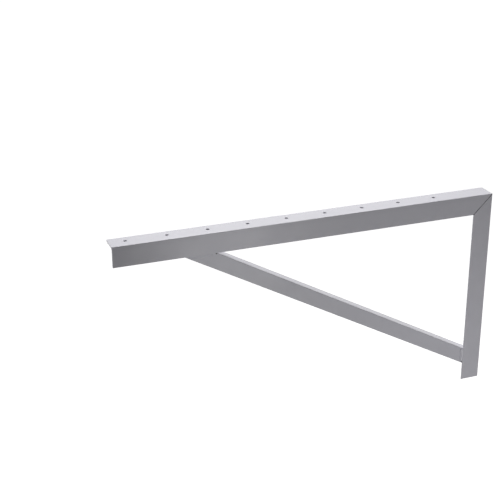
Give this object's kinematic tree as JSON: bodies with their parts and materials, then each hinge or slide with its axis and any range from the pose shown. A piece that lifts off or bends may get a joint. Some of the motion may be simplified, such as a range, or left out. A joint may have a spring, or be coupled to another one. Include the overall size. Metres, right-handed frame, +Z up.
{
  "type": "air conditioner outdoor unit bracket",
  "caption": "Welded steel wall bracket with a drilled level arm, an upright post and a diagonal brace, for an air conditioner's outdoor unit.",
  "frame": {"origin": "centre of the lower round wall hole, on the wall plane", "axes": "+X away from the wall along the arm, +Y to the side that the flat outer faces of the webs look to, +Z up"},
  "size_m": [0.775, 0.04, 0.41],
  "materials": {
    "paint_light_grey": "satin powder coat over welded steel"
  },
  "bodies": {
    "root": {"arm_angle": "paint_light_grey", "post_angle": "paint_light_grey", "brace_angle": "paint_light_grey", "mitre_web_weld": "paint_light_grey", "mitre_flange_weld": "paint_light_grey", "brace_head_weld": "paint_light_grey", "brace_foot_weld": "paint_light_grey", "brace_heel_weld": "paint_light_grey"}
  },
  "joints": []
}
